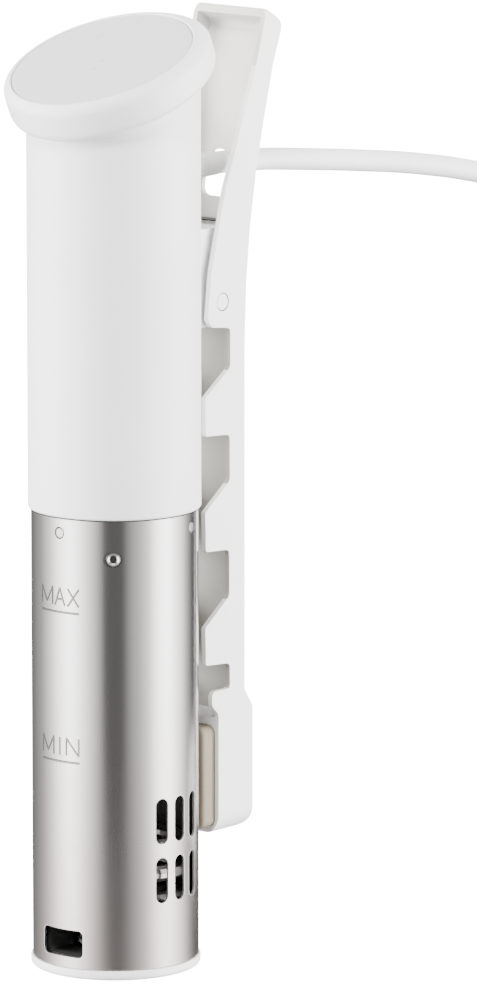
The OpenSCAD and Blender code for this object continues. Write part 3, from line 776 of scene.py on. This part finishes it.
def steel_sleeve():
    """The thin steel tube with its slots, outlet window, and holes for pins and screws."""
    sleeve = lathe("steel_tube", [
        (SLEEVE_IN_R, FOOT_H), (SLEEVE_R - 0.2, FOOT_H), (SLEEVE_R, FOOT_H + 0.2), (SLEEVE_R, SLEEVE_TOP_Z),
        (SLEEVE_IN_R, SLEEVE_TOP_Z), (SLEEVE_IN_R, FOOT_H)], 256)
    weld(sleeve)
    half = SLOT_W / 2
    for angle, z in SLOTS:
        boolean(sleeve, tube_cutter(rectangle(-half, z, half, z + SLOT_L, half - 0.02, 10), angle))
    width, low, high, corner = WINDOW
    boolean(sleeve, tube_cutter(rectangle(-width / 2, low, width / 2, high, corner), 0))
    for angle in PIN_ANGLES:
        boolean(sleeve, tube_cutter(circle(0, PIN_Z, 2.2, 32), angle))
    for angle in SCREW_ANGLES:
        boolean(sleeve, tube_cutter(circle(0, SCREW_Z, DIMPLE_R, 40), angle))
    radial_normals(sleeve)
    finish_piece(sleeve, "housing", "polished_steel", "steel_sleeve")
    sleeve.data.materials.append(INNER_STEEL_SHADE)
    sleeve.data.materials.append(EDGE_STEEL_HIGHLIGHT)
    # Painted shade: the inner faces take the near black inner steel. Painted highlight: the cut edges take
    # the lighter edge steel.
    for face in sleeve.data.polygons:
        out = Vector((face.center.x, face.center.y, 0)).normalized()
        lean = face.normal.dot(out)
        if lean < -0.5:
            face.material_index = 1
        elif lean < 0.5:
            face.material_index = 2


def slot_rim(outline, grown, angle, name):
    """The deburred edge round an opening of the sleeve: a narrow bead just over its surface, coloured lighter
    than the steel as a painted highlight.

    Its section runs from the outline to the grown outline.
    """
    rings = []
    for share, lift in ((0, -0.55), (0, 0.02), (0.3, 0.07), (1, -0.03)):
        ring = []
        for (x0, z0), (x1, z1) in zip(outline, grown):
            x, z = x0 + (x1 - x0) * share, z0 + (z1 - z0) * share
            ring.append((x, -math.sqrt((SLEEVE_R + lift) ** 2 - x * x), z))
        rings.append(ring)
    made = loft(name, rings)
    smooth_below(made, 60)
    return place_on_tube(made, angle)


def sleeve_rims():
    """The deburred edges of all slots and of the outlet window, as one piece."""
    bead = 0.42
    near = SLOT_W / 2 - 0.01
    far = SLOT_W / 2 + bead
    pieces = []
    for angle, z in SLOTS:
        top = z + SLOT_L
        outline = rectangle(-near, z + 0.01, near, top - 0.01, near - 0.01, 10)
        grown = rectangle(-far, z - bead, far, top + bead, far - 0.02, 10)
        pieces.append(slot_rim(outline, grown, angle, "slot_rim"))
    width, low, high, corner = WINDOW
    near = width / 2
    far = near + bead
    outline = rectangle(-near, low, near, high, corner, 8)
    grown = rectangle(-far, low - bead, far, high + bead, corner + bead, 8)
    pieces.append(slot_rim(outline, grown, 0, "window_rim"))
    made = join("edge_beads", pieces)
    finish_piece(made, "housing", "polished_steel")
    # Painted highlight: the beads take the lighter edge steel.
    made.data.materials[0] = EDGE_STEEL_HIGHLIGHT


def seam_seal():
    """The thin dark gasket that shows between the body's lower edge and the sleeve."""
    section = [(29.9, -0.4), (30.35, -0.38), (30.5, -0.2), (30.5, 0.3), (29.9, 0.3), (29.9, -0.4)]
    made = lathe("seam_seal", [(radius, SEAM_Z + rise) for radius, rise in section])
    smooth_below(made, 40)
    finish_piece(made, "housing", "black_rubber")


def dimple(angle, name):
    """The shallow saucer pressed round a sleeve screw."""
    section = [(DIMPLE_R + 0.05, 0), (3.4, 0.006), (3.1, 0.03), (HEAD_R + 0.1, 0.07), (HEAD_R + 0.02, 0.8)]
    rings = [[(x, -math.sqrt(SLEEVE_R ** 2 - x * x) + sink, z) for x, z in circle(0, 0, radius, 64)]
             for radius, sink in section]
    made = loft(name, rings)
    smooth_below(made, 50)
    place_on_tube(made, angle, SCREW_Z)
    finish_piece(made, "housing", "polished_steel")


def front_ring(radius, depth, count):
    """A ring that faces -Y, at a depth under the sleeve's foremost line."""
    return [(x, depth - SLEEVE_R, z) for x, z in circle(0, 0, radius, count)]


def fastener(name, rings, angle, z, replaced):
    """A small steel piece in the sleeve. The first of its kind stands for the CAD node of them all."""
    made = loft(name, rings, closed_ends=True)
    smooth_below(made, 40)
    place_on_tube(made, angle, z)
    return finish_piece(made, "housing", "polished_steel", *replaced)


def screw_head(angle, name):
    """A round head that sinks in a cone towards its hexagonal socket."""
    count = 60
    socket_half = 0.9093  # half the distance across the socket's flats
    section = [(HEAD_R, 1.2), (HEAD_R, 0.36), (2.55, 0.2), (2.3, 0.2), (1.95, 0.36), (1.6, 0.62), (1.3, 0.9)]
    rings = [front_ring(radius, depth, count) for radius, depth in section]
    for depth in (0.95, 3.4):
        ring = []
        for j in range(count):
            turned = TURN * j / count
            radius = socket_half / math.cos(turned % (math.pi / 3) - math.pi / 6)
            ring.append((radius * math.cos(turned), depth - SLEEVE_R, radius * math.sin(turned)))
        rings.append(ring)
    made = fastener(name, rings, angle, SCREW_Z, ["sleeve_screws"] if angle == SCREW_ANGLES[0] else [])
    made.data.materials.append(INNER_STEEL_SHADE)
    # Painted shade: the socket's faces take the near black inner steel.
    socket_start = (len(rings) - 3) * count
    for face in made.data.polygons[socket_start:]:
        face.material_index = 1


def sleeve_pin(angle, name):
    """A small round pin that fills its hole in the sleeve, with a shallow crown."""
    section = [(1.8, 1.6), (1.8, 0.3), (1.7, 0.12), (1.4, 0.04), (0.8, 0.02), (0.2, 0.02)]
    rings = [front_ring(radius, depth, 40) for radius, depth in section]
    made = fastener(name, rings, angle, PIN_Z, ["sleeve_pins"] if angle == PIN_ANGLES[0] else [])
    # Painted highlight: the pin takes the lighter edge steel.
    made.data.materials[0] = EDGE_STEEL_HIGHLIGHT


steel_sleeve()
sleeve_rims()
seam_seal()
for number, place in enumerate(SCREW_ANGLES, 1):
    dimple(place, f"dimple_{number}")
    screw_head(place, f"sleeve_screw_{number}")
for number, place in enumerate(PIN_ANGLES, 1):
    sleeve_pin(place, f"sleeve_pin_{number}")

# Level marks: plain strokes of generic words, embossed in the steel. A letter is its width and its
# strokes, in a box one unit high.
LETTERS = {
    "M": (0.95, [[(0, 0), (0, 1), (0.475, 0.15), (0.95, 1), (0.95, 0)]]),
    "A": (0.7, [[(0, 0), (0.35, 1), (0.7, 0)], [(0.14, 0.36), (0.56, 0.36)]]),
    "X": (0.72, [[(0, 0), (0.72, 1)], [(0, 1), (0.72, 0)]]),
    "I": (0.1, [[(0.05, 0), (0.05, 1)]]),
    "N": (0.8, [[(0, 0), (0, 1), (0.8, 0), (0.8, 1)]]),
}
STROKE = 0.42  # half the width of a stroke
RIDGE = 0.24  # height of a stroke over the steel
MARK_CENTRE = -1.3  # degrees from the front
MARK_HALF = 16.9  # degrees that the line reaches to either side


def ridge(points, name):
    """A raised stroke along points (angle, z) on the tube."""
    path = []
    for (a0, z0), (a1, z1) in zip(points, points[1:]):
        steps = max(2, int(abs(a1 - a0) / 1.5) + 1)
        path += [(a0 + (a1 - a0) * k / steps, z0 + (z1 - z0) * k / steps) for k in range(steps)]
    path.append(points[-1])
    section = [(-STROKE, -0.03), (-STROKE * 0.45, RIDGE), (STROKE * 0.45, RIDGE), (STROKE, -0.03)]
    rings = []
    for i, (angle, z) in enumerate(path):
        a, b = path[max(0, i - 1)], path[min(len(path) - 1, i + 1)]
        along = Vector((math.radians(b[0] - a[0]) * SLEEVE_R, b[1] - a[1])).normalized()
        ring = []
        for side, lift in section:
            turn = math.radians(angle) - along.y * side / SLEEVE_R
            radius = SLEEVE_R + lift
            ring.append((radius * math.sin(turn), -radius * math.cos(turn), z + along.x * side))
        rings.append(ring)
    return loft(name, rings, closed_ends=True)


def level_mark(word, line_z, height, gap, name):
    """A word over its line, centred on it. The gap between letters is a share of their height."""
    lift = 2.4  # from the line to the word
    total = sum(LETTERS[c][0] for c in word) + gap * (len(word) - 1)
    pieces = [ridge([(MARK_CENTRE - MARK_HALF, line_z), (MARK_CENTRE + MARK_HALF, line_z)], name)]
    x = -total / 2
    degrees = math.degrees(height / SLEEVE_R)
    for letter in word:
        width, strokes = LETTERS[letter]
        for stroke in strokes:
            path = [(MARK_CENTRE + (x + u) * degrees, line_z + lift + v * height) for u, v in stroke]
            pieces += [ridge(ends, name) for ends in zip(path, path[1:])]
        x += width + gap
    made = join(name, pieces)
    finish_piece(made, "housing", "polished_steel")
    made.data.materials[0] = MARK_STEEL


level_mark("MAX", 133.4, 6.4, 0.2, "max_mark")
level_mark("MIN", 79.1, 6.4, 0.42, "min_mark")


def foot():
    """The white foot: a disc with a rolled edge and the ring that the sleeve sits on."""
    ring_in, ring_out, ring_top = 27.7, 29.15, 6
    profile = [(0.5, 0.35), (26, 0.35), (27.5, 0.05), *arc(29.1, 1.6, 1.6, -90, 0), (30.7, 3.2), (30.5, 3.5),
               (29.9, FOOT_H), (ring_out, FOOT_H), (ring_out, ring_top), (ring_in, ring_top),
               (ring_in, FOOT_H), (0.5, FOOT_H)]
    made = lathe("foot", profile, 128, closed_ends=True)
    smooth_below(made, 40)
    finish_piece(made, "housing", "foot_plastic", "base_cap")


foot()

# ------------------------------ clip

LEVER_HALF = 16.8
WALL = 2.0
PIVOT = (40.2, 238.3)
PIN_R = 3.05
# Corners of the lever's side, (Y, Z, radius), from the foot of its back up and round to the front
LEVER_BACK = [
    (57.1, 42.2, 6), (57.1, 87.8, 2), (52.6, 94.4, 3), (52.6, 222, 20), (53.4, 243, 20), (55.5, 263, 20),
    (58.9, 283.5, 20), (63.0, 301, 20), (68.4, 321.4, 20), (73.9, 336.0, 4)]
LEVER_FRONT = [
    (65.0, 342.4, 1.2), (58.7, 321.2, 25), (51.5, 304.1, 25), (46.5, 290.7, 25), (41.6, 278.6, 25),
    (38.0, 264.4, 25), (34.0, 249.6, 20), (32.0, 232.4, 2.5), (34.4, 229.6, 1.6)]
NOTCHES = [
    [(44.4, 228.4, 2), (44.4, 214, 3), (30.6, 204.4, 1.2)],
    [(30.8, 190.4, 1), (44.1, 189.5, 2), (44.1, 172.6, 3), (30.4, 162.6, 1.2)],
    [(30.8, 148.2, 1), (43.8, 147.3, 2), (43.8, 130.2, 3), (30.4, 120.2, 1.2)],
    [(30.8, 106.4, 1), (44.1, 105.4, 2), (44.1, 96.0, 1.5), (34.1, 96.2, 3.8), (34.2, 90.8, 3),
     (37.8, 87.4, 3)]]
SHOE_FRONT = [(37.8, 42.2, 2.5)]
FRONT_VIEW = (42.2, 342.9, 8, 4.5)  # the lever's low, high, and radii of its lower and upper corners
CHANNEL_LOW = 86  # where the hollow inside the lever ends, over the shoe
PAD = (15, 45.3, 83, 3)  # half width, low, high, corner radius
PAD_FRONT = 31
PAD_BACK = 42
HOLE = (6.2, 273.4, 290.4, 3.2)  # half width, low, high, radius of its lower corners
SPRING_R = 4.9  # the coil's radius, to the middle of its wire
SPRING_WIRE_R = 0.65
SPRING_BAR = (52.9, 265.4)  # the cross bar's place in the lever, (Y, Z)


def channel_outline():
    """The hollow inside the lever, open towards the body."""
    back = [(y - WALL, z, r) for y, z, r in LEVER_BACK[3:]]
    floor = [(15, CHANNEL_LOW, 0), (back[0][0], CHANNEL_LOW, 4)]
    top_y, top_z, _ = back.pop()
    return rounded(floor + back + [(top_y - 0.6, top_z - 0.9, 3), (62, 339.9, 0), (15, 344, 0)])


def lever():
    """The clip's lever: a hollow channel with notches for a pot's rim, the pad's seat and the cord's hole."""
    side = rounded(LEVER_BACK + LEVER_FRONT + sum(NOTCHES, []) + SHOE_FRONT)
    made = prism("lever", side, -LEVER_HALF, LEVER_HALF)
    inner = prism("inner", channel_outline(), -LEVER_HALF + WALL, LEVER_HALF - WALL)
    boolean(made, inner)
    low, high, foot_r, top_r = FRONT_VIEW
    view = rectangle(-LEVER_HALF, low, LEVER_HALF, high, foot_r, 8, top_r)
    boolean(made, prism("front_view", view, 10, 90, "Y"), "INTERSECT")
    half, low, high, corner = PAD
    boolean(made, prism("seat", rectangle(-half, low, half, high, corner), 20, PAD_BACK, "Y"))
    half, low, high, corner = HOLE
    hole = [*arc(half - corner, low + corner, corner, -90, 0), *arc(0, high - half, half, 0, 180, 20),
            *arc(-half + corner, low + corner, corner, 180, 270)]
    boolean(made, prism("hole", hole, 47, 80, "Y"))
    bore_r = PIN_R + 0.3
    boolean(made, prism("bore", circle(*PIVOT, bore_r), -30, 30))
    pivot = Vector(PIVOT) * MM
    soften(made, 0.85, spare=lambda p: abs((p.yz - pivot).length - bore_r * MM) < 0.1 * MM)
    finish_piece(made, "clip", "clip_plastic", "clip_lever")
    made.data.materials.append(CLIP_INSIDE_SHADE)
    made.data.materials.append(GAP_SHADE)
    # Painted shade: the faces inside the channel and on the notch floors take the darker inside colour, and
    # the bore's wall a near black.
    for face in made.data.polygons:
        x, y, z = (c / MM for c in face.center)
        channel_in_shade = abs(x) < LEVER_HALF - WALL + 0.1 and z > CHANNEL_LOW + 0.5 and face.normal.y < 0.5
        notch_floor_in_shade = 42.5 < y < 45 and 94 < z < 230 and face.normal.y < -0.5
        bore_in_shade = abs(math.dist((y, z), PIVOT) - bore_r) < 0.1 and abs(face.normal.x) < 0.5
        if bore_in_shade:
            face.material_index = 2
        elif channel_in_shade or notch_floor_in_shade:
            face.material_index = 1


def pad():
    """The rubber pad: a soft block with a slightly crowned face."""
    half, low, high, corner = PAD
    sections = []
    back = PAD_BACK - PAD_FRONT - 0.1
    for depth, inset in ((back, 0), (1.6, 0.02), (0.7, 0.25), (0.25, 0.75), (0.06, 1.5), (0.02, 3), (0, 5.6)):
        edge = 0.05 + inset
        outline = rectangle(-half + edge, low + edge, half - edge, high - edge, max(corner - inset, 0.3), 8)
        sections.append([(x, PAD_FRONT + depth, z) for x, z in outline])
    made = loft("pad", sections, closed_ends=True)
    smooth_below(made, 40)
    finish_piece(made, "clip", "pad_rubber", "jaw_pad")


def hinge_pin():
    """The pin through lever and bracket, its ends flush in the lever's sides."""
    end = [(PIN_R - 0.5, -LEVER_HALF + 0.02), (PIN_R - 0.15, -LEVER_HALF + 0.05), (PIN_R, -LEVER_HALF + 0.2)]
    profile = end + [(radius, -x) for radius, x in reversed(end)]
    pin = lathe("pin", profile, 64, closed_ends=True)
    smooth_below(pin, 40)
    turn = Matrix.Rotation(math.radians(90), 4, "Y")
    pin.data.transform(Matrix.Translation(Vector((0, *PIVOT)) * MM) @ turn)
    finish_piece(pin, "housing", "white_nylon", "hinge_pin")
    pin.data.materials.append(GAP_SHADE)
    # Painted shade: the pin's side faces take the near black of the gap round it.
    for face in pin.data.polygons:
        if abs(face.normal.x) < 0.6:
            face.material_index = 1


def torsion_spring():
    """The clip's spring: each half runs from a short leg round the pin and up a long leg to the cross bar.
    """
    y, z = PIVOT
    bar_y, bar_z = SPRING_BAR
    near, pitch, turns = 1.2, 2.1 * SPRING_WIRE_R, 4.5
    far = near + pitch * turns
    half = [(near, 34.6, z + 6.5), (near, 35, z + 4)]
    for angle in range(0, int(360 * turns) + 1, 15):
        a = math.radians(angle)
        half.append((near + pitch * angle / 360, y - SPRING_R * math.cos(a), z - SPRING_R * math.sin(a)))
    half += [(far, y + 6.8, z + 8), (far, bar_y - 0.9, bar_z - 2.4), (far - 0.3, bar_y - 0.25, bar_z - 0.7),
             (far - 1, bar_y, bar_z)]
    other = [(-px, py, pz) for px, py, pz in reversed(half)]
    made = wire("spring", half + other, SPRING_WIRE_R)
    finish_piece(made, None, "spring_steel", "torsion_spring")
    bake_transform(made)


def bracket():
    """The hinge's block on the body: two cheeks under a closed roof."""
    half = 13.5
    cheek = 4
    side = rounded([(24, 229.5, 0), (42, 229.5, 1.5), (47, 235.5, 3), (47, 265, 2.5), (24, 265, 0)])
    pocket = [(33.6, 220), (60, 220), (60, 262), (33.6, 262)]
    made = prism("bracket", side, -half, half)
    boolean(made, prism("pocket", pocket, -half + cheek, half - cheek))
    boolean(made, prism("bore", circle(*PIVOT, PIN_R + 0.02), -30, 30))
    tube = lathe("tube", [(BODY_R, 200), (BODY_R, 290)], 192, closed_ends=True)
    boolean(made, tube)
    soften(made, 0.5)
    finish_piece(made, "housing", "white_plastic", "hinge_bracket")


def gland():
    """The cord's flange and tapered strain relief, with shallow flex rings near the body."""
    profile = [(6.9, 28.5), (7, 32.3), (6.8, 32.8), (6.3, 33), (5.7, 33.2), (5.35, 34)]
    rings = 5
    for k in range(rings):
        y = 35 + 2.7 * k
        for drop, along in ((0, 0), (0.06, 1.7), (0.4, 1.9), (0.42, 2.5)):
            profile.append((5.25 - 0.15 * k - drop, y + along))
    profile += [(4.5, 48.6), (4.42, 52), (4.35, 55.4), (4.28, 55.8), (4.15, 56)]
    made = lathe("gland", profile, 72, closed_ends=True)
    smooth_below(made, 40)
    turn = Matrix.Rotation(math.radians(-90), 4, "X")
    cord_z = CORD_ROUTE[0][2]
    made.data.transform(Matrix.Translation((0, 0, cord_z * MM)) @ turn)
    finish_piece(made, "housing", "cord_jacket", "cord_gland")


lever()
pad()
hinge_pin()
torsion_spring()
bracket()
gland()

# ------------------------------ heater seen through the slots


def smooth_cad_copy(node, look):
    """A smooth-shaded copy of a CAD node stands for it."""
    made = new_object(node + "_smooth", frame["nodes"][node].data.copy())
    smooth_below(made, 40)
    finish_piece(made, "housing", look, node)


smooth_cad_copy("heater_coil", "polished_steel")

# ------------------------------ floor and light

FLOOR_GLOW = 16


def floor():
    """A plain pale floor. It stays out of reflections, where the studio's soft boxes show."""
    shader = Shader("floor", (0.9, 0.9, 0.9), 0.9, specular=0.1)
    shader.surface.inputs["Emission Color"].default_value = (1, 1, 1, 1)
    shader.surface.inputs["Emission Strength"].default_value = FLOOR_GLOW
    shader.tint(shader.noise(60), (0.88, 0.88, 0.88), (0.92, 0.92, 0.92))
    mesh = bpy.data.meshes.new("floor")
    size = 9
    corners = [(-size, -size, 0), (size, -size, 0), (size, size, 0), (-size, size, 0)]
    mesh.from_pydata(corners, [], [(0, 1, 2, 3)])
    mesh.materials.append(shader.material)
    ground = new_object("floor", mesh)
    ground.visible_glossy = False
    ground.visible_diffuse = False


# Brightness of the studio round the object, by angle from the camera's side in degrees: a broad soft
# box on either side with a dark gap between them, dark flags past them, and a strip far on the right.
STUDIO = [
    (-180, 0.25), (-150, 0.3), (-119, 0.85), (-98, 2.3), (-81, 5.8), (-65, 9), (-51, 6), (-38, 3.1),
    (-25, 1.4), (-13, 0.19), (12, 0.19), (24, 0.8), (37, 1.35), (50, 2.6), (64, 7.4), (79, 9.6), (97, 4.8),
    (117, 1.15), (133, 0.2), (148, 0.1), (166, 0.1), (171, 0.6), (176, 0.6), (180, 0.25)]
STUDIO_PEAK = 10
# How much of that shows at a height, and the ceiling's and the ground's own light there. The height
# is the sine of the angle over the horizon.
BAND = [(-1, 0), (-0.75, 0), (-0.55, 1), (0.15, 1), (0.4, 0), (1, 0)]
SKY = [(-1, 0.7), (-0.75, 0.7), (-0.55, 0), (0.15, 0), (0.4, 0.8), (1, 1.1)]


def ramp(graph, value, low, high, stops):
    """A grey ramp over value; a stop is (value, level)."""
    made = graph.node("ShaderNodeValToRGB")
    graph.link(graph.map_range(value, low, high), made.inputs["Fac"])
    elements = made.color_ramp.elements
    for i, (place, level) in enumerate(stops):
        inner = 0 < i < len(stops) - 1
        where = (place - low) / (high - low)
        stop = elements.new(where) if inner else elements[0 if i == 0 else len(elements) - 1]
        stop.color = (*[level / STUDIO_PEAK] * 3, 1)
    return made.outputs["Color"]


def studio():
    """The world: soft boxes at the height of the object under a pale ceiling."""
    world = bpy.data.worlds.new("studio")
    bpy.context.scene.world = world
    world.use_nodes = True
    graph = Graph(world.node_tree)
    rotate = graph.node("ShaderNodeVectorRotate", rotation_type="Z_AXIS")
    rotate.inputs["Angle"].default_value = -math.radians(CAMERA_AZIMUTH)
    graph.link(graph.node("ShaderNodeTexCoord").outputs["Generated"], rotate.inputs["Vector"])
    split = graph.node("ShaderNodeSeparateXYZ")
    graph.link(rotate.outputs["Vector"], split.inputs[0])
    turn = graph.math("ARCTAN2", split.outputs["X"], graph.math("MULTIPLY", split.outputs["Y"], -1))
    around = ramp(graph, turn, -math.pi, math.pi, [(math.radians(angle), level) for angle, level in STUDIO])
    band = ramp(graph, split.outputs["Z"], -1, 1, [(z, level * STUDIO_PEAK) for z, level in BAND])
    sky = ramp(graph, split.outputs["Z"], -1, 1, SKY)
    boxes = graph.node("ShaderNodeMix", data_type="RGBA", blend_type="MULTIPLY")
    total = graph.node("ShaderNodeMix", data_type="RGBA", blend_type="ADD")
    for mix, first, second in ((boxes, around, band), (total, boxes.outputs[2], sky)):
        mix.inputs[0].default_value = 1
        graph.link(first, mix.inputs[6])
        graph.link(second, mix.inputs[7])
    background = world.node_tree.nodes["Background"]
    background.inputs["Strength"].default_value = STUDIO_PEAK
    graph.link(total.outputs[2], background.inputs["Color"])


def soft_box(name, turned, elevation, distance, size, power, glossy=False):
    """A square light, turned by an angle from the camera's side."""
    data = bpy.data.lights.new(name, "AREA")
    data.shape = "RECTANGLE"
    data.size = data.size_y = size
    data.energy = power
    light = new_object(name, data)
    aim(light, CAMERA_AZIMUTH + turned, elevation, distance)
    light.visible_glossy = glossy


floor()
studio()
soft_box("top_light", 0, 80, 2.2, 2, 32, glossy=True)
soft_box("key_light", -15, 50, 2.2, 0.5, 60)
soft_box("right_light", 86, 5, 2, 1.2, 138)
soft_box("left_light", -86, 5, 2, 1.2, 138)
soft_box("back_light", 180, 25, 2, 1.2, 60)
